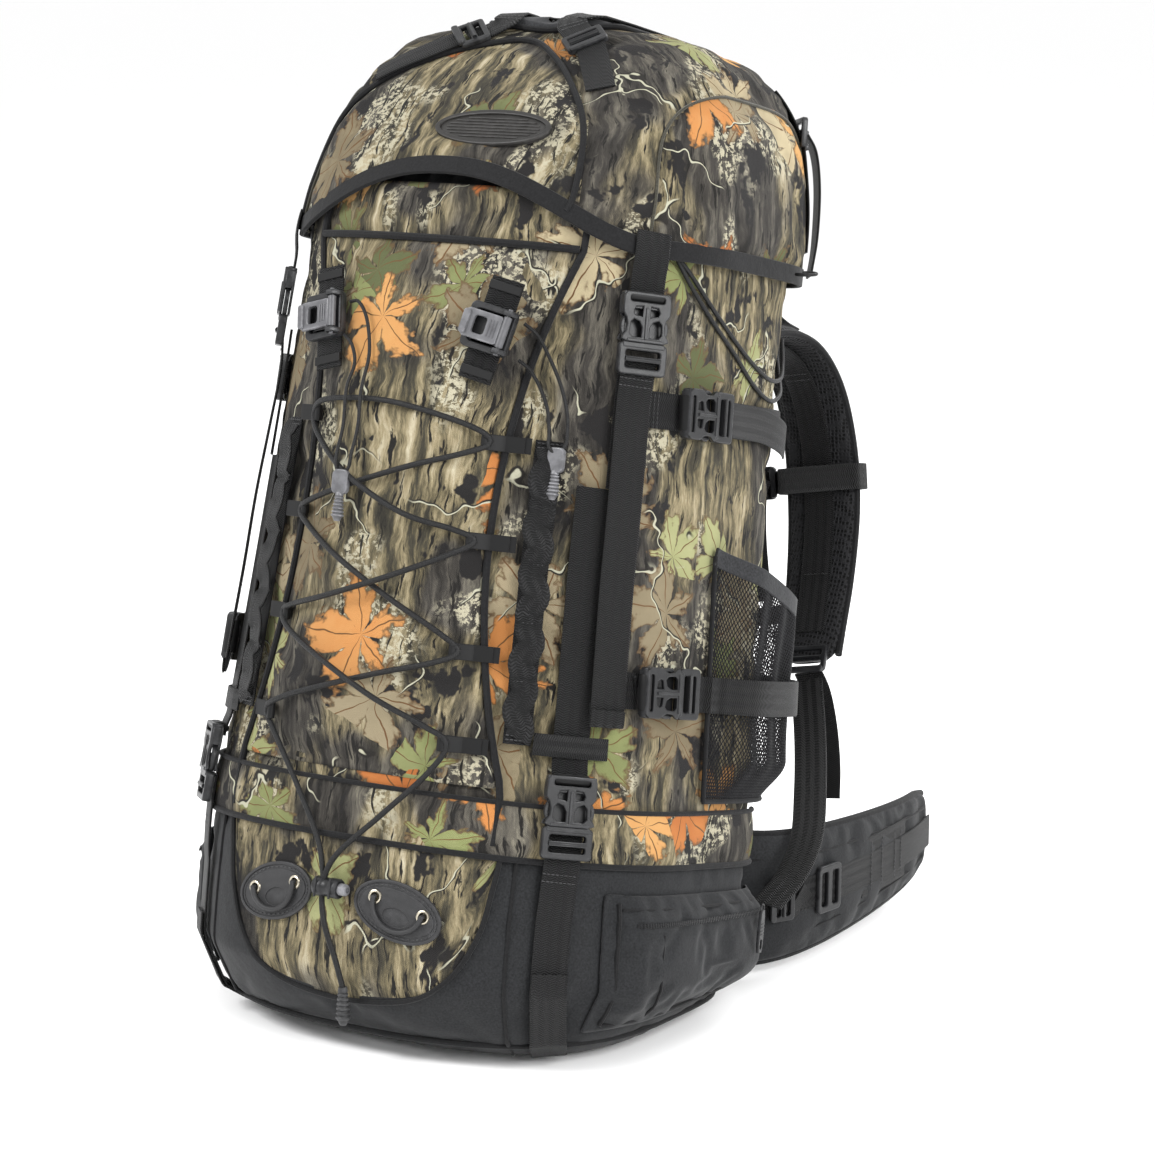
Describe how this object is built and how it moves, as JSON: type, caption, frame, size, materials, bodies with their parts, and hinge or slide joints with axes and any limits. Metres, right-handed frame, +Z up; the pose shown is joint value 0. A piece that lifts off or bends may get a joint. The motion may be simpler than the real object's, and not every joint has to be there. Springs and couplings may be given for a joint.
{
  "type": "hunting backpack",
  "caption": "tall internal-frame hunting backpack with a domed lid, laced front pocket, compression straps, net side pockets, padded shoulder straps and hip belt",
  "frame": {"origin": "middle of the flat base, on the ground", "axes": "+Z up; the front panel faces -Y and the harness faces +Y; +X is the wearer's right side"},
  "size_m": [0.4078, 0.6118, 0.6953],
  "materials": {
    "camo_fabric": "brushed woven polyester with a printed woodland bark and leaf pattern, matt",
    "base_fabric": "coated black nylon, fine weave, matt",
    "webbing": "ribbed black nylon webbing, slight sheen",
    "net": "knitted black net",
    "air_mesh": "black spacer mesh over foam",
    "cord": "braided black elastic cord",
    "buckle_plastic": "moulded acetal, dark grey, fine texture",
    "clip_lever": "gunmetal-coloured moulded plastic, glossy",
    "frame_plastic": "polyethylene sheet",
    "rubber": "moulded black rubber",
    "badge_rubber": "moulded dark rubber with a raised rim",
    "aluminium": "bare flat bar"
  },
  "bodies": {
    "pack": {"main_bag": "camo_fabric", "front_pocket": "camo_fabric", "storm_flap": "camo_fabric", "base_tub": "base_fabric", "snow_collar": "base_fabric", "frame_sheet": "frame_plastic", "stay_left": "aluminium", "mesh_pocket_left": "net", "cargo_pocket_left": "base_fabric", "lid_webbing_left": "webbing", "daisy_chain_left": "webbing", "shoulder_webbing_left": "webbing", "base_strap_left_webbing": "webbing", "upper_strap_left_webbing": "webbing", "lower_strap_left_webbing": "webbing", "clip_base_left": "buckle_plastic", "gear_patch_left": "rubber", "stay_right": "aluminium", "mesh_pocket_right": "net", "cargo_pocket_right": "base_fabric", "lid_webbing_right": "webbing", "daisy_chain_right": "webbing", "shoulder_webbing_right": "webbing", "base_strap_right_webbing": "webbing", "upper_strap_right_webbing": "webbing", "lower_strap_right_webbing": "webbing", "clip_base_right": "buckle_plastic", "gear_patch_right": "rubber", "back_panel": "air_mesh", "lumbar_pad": "air_mesh", "bungee_lacing": "cord", "cord_pull": "rubber", "haul_loop": "webbing"},
    "lid": {"lid": "camo_fabric", "badge": "badge_rubber", "lid_strap_left": "webbing", "lid_strap_right": "webbing"},
    "lid_buckle_left": {"lid_buckle_male_left": "buckle_plastic"},
    "base_buckle_left": {"base_strap_left_male": "buckle_plastic"},
    "upper_buckle_left": {"upper_strap_left_male": "buckle_plastic"},
    "lower_buckle_left": {"lower_strap_left_male": "buckle_plastic"},
    "clip_lever_left": {"clip_lever_left": "clip_lever"},
    "gear_loop_left": {"gear_loop_left": "rubber"},
    "shoulder_strap_left": {"shoulder_strap_left": "air_mesh"},
    "sternum_strap_left": {"sternum_strap_left": "webbing"},
    "hip_wing_left": {"hip_wing_left": "air_mesh", "hip_buckle_left": "buckle_plastic"},
    "lid_buckle_right": {"lid_buckle_male_right": "buckle_plastic"},
    "base_buckle_right": {"base_strap_right_male": "buckle_plastic"},
    "upper_buckle_right": {"upper_strap_right_male": "buckle_plastic"},
    "lower_buckle_right": {"lower_strap_right_male": "buckle_plastic"},
    "clip_lever_right": {"clip_lever_right": "clip_lever"},
    "gear_loop_right": {"gear_loop_right": "rubber"},
    "shoulder_strap_right": {"shoulder_strap_right": "air_mesh"},
    "sternum_strap_right": {"sternum_strap_right": "webbing"},
    "hip_wing_right": {"hip_wing_right": "air_mesh", "hip_buckle_right": "buckle_plastic"},
    "cord_lock": {"cord_lock": "buckle_plastic"},
    "cord_lock_button": {"cord_lock_button": "buckle_plastic"},
    "cargo_zip_pull": {"cargo_zip_pull": "buckle_plastic"}
  },
  "joints": [
    {"name": "lid_hinge", "type": "hinge", "parent": "pack", "child": "lid", "pos_m": [0, 0.23698, 0.50516], "axis": [-1, 0, 0], "range_deg": [0, 95]},
    {"name": "lid_buckle_left_slide", "type": "slide", "parent": "pack", "child": "lid_buckle_left", "axis": [-0.051, -0.2361, -0.9704], "range_m": [0, 0.02]},
    {"name": "base_buckle_left_slide", "type": "slide", "parent": "pack", "child": "base_buckle_left", "axis": [-0.0485, -0.2452, -0.9683], "range_m": [0, 0.02]},
    {"name": "upper_buckle_left_slide", "type": "slide", "parent": "pack", "child": "upper_buckle_left", "axis": [-0.072, 0.9774, -0.1988], "range_m": [0, 0.02]},
    {"name": "lower_buckle_left_slide", "type": "slide", "parent": "pack", "child": "lower_buckle_left", "axis": [-0.1943, 0.9612, -0.1956], "range_m": [0, 0.012]},
    {"name": "clip_lever_left_hinge", "type": "hinge", "parent": "pack", "child": "clip_lever_left", "pos_m": [-0.05668, -0.06965, 0.50524], "axis": [-0.1834, 0.3275, 0.9269], "range_deg": [0, 70]},
    {"name": "gear_loop_left_hinge", "type": "hinge", "parent": "pack", "child": "gear_loop_left", "pos_m": [-0.05222, -0.15414, 0.11786], "axis": [-0.9611, 0.0933, -0.26], "range_deg": [0, 80]},
    {"name": "shoulder_strap_left_hinge", "type": "hinge", "parent": "pack", "child": "shoulder_strap_left", "pos_m": [-0.064, 0.243, 0.44], "axis": [1, 0, 0], "range_deg": [0, 12]},
    {"name": "sternum_strap_left_slide", "type": "slide", "parent": "shoulder_strap_left", "child": "sternum_strap_left", "axis": [0.1561, 0.1561, 0.9753], "range_m": [-0.008, 0.008]},
    {"name": "hip_wing_left_hinge", "type": "hinge", "parent": "pack", "child": "hip_wing_left", "pos_m": [-0.108, 0.152, 0.062], "axis": [0, 0, 1], "range_deg": [-18, 4]},
    {"name": "lid_buckle_right_slide", "type": "slide", "parent": "pack", "child": "lid_buckle_right", "axis": [0.051, -0.2361, -0.9704], "range_m": [0, 0.02]},
    {"name": "base_buckle_right_slide", "type": "slide", "parent": "pack", "child": "base_buckle_right", "axis": [0.0485, -0.2452, -0.9683], "range_m": [0, 0.02]},
    {"name": "upper_buckle_right_slide", "type": "slide", "parent": "pack", "child": "upper_buckle_right", "axis": [0.072, 0.9774, -0.1988], "range_m": [0, 0.02]},
    {"name": "lower_buckle_right_slide", "type": "slide", "parent": "pack", "child": "lower_buckle_right", "axis": [0.1943, 0.9612, -0.1956], "range_m": [0, 0.012]},
    {"name": "clip_lever_right_hinge", "type": "hinge", "parent": "pack", "child": "clip_lever_right", "pos_m": [0.08166, -0.06597, 0.499], "axis": [0.1834, 0.3275, 0.9269], "range_deg": [0, 70]},
    {"name": "gear_loop_right_hinge", "type": "hinge", "parent": "pack", "child": "gear_loop_right", "pos_m": [0.05222, -0.15414, 0.11786], "axis": [-0.9611, -0.0933, 0.26], "range_deg": [0, 80]},
    {"name": "shoulder_strap_right_hinge", "type": "hinge", "parent": "pack", "child": "shoulder_strap_right", "pos_m": [0.064, 0.243, 0.44], "axis": [1, 0, 0], "range_deg": [0, 12]},
    {"name": "sternum_strap_right_slide", "type": "slide", "parent": "shoulder_strap_right", "child": "sternum_strap_right", "axis": [-0.1561, 0.1561, 0.9753], "range_m": [-0.008, 0.008]},
    {"name": "hip_wing_right_hinge", "type": "hinge", "parent": "pack", "child": "hip_wing_right", "pos_m": [0.108, 0.152, 0.062], "axis": [0, 0, -1], "range_deg": [-18, 4]},
    {"name": "cord_lock_slide", "type": "slide", "parent": "pack", "child": "cord_lock", "axis": [0, 0.2103, 0.9776], "range_m": [0, 0.03], "deforming": ["bungee_lacing"]},
    {"name": "cord_lock_button_press", "type": "slide", "parent": "cord_lock", "child": "cord_lock_button", "axis": [-1, 0, 0], "range_m": [0, 0.003], "stiffness_N_per_m": 250, "springref_m": -0.002},
    {"name": "cargo_zip_pull_slide", "type": "slide", "parent": "pack", "child": "cargo_zip_pull", "axis": [0.1161, -0.9793, 0.166], "range_m": [0, 0.05]}
  ]
}
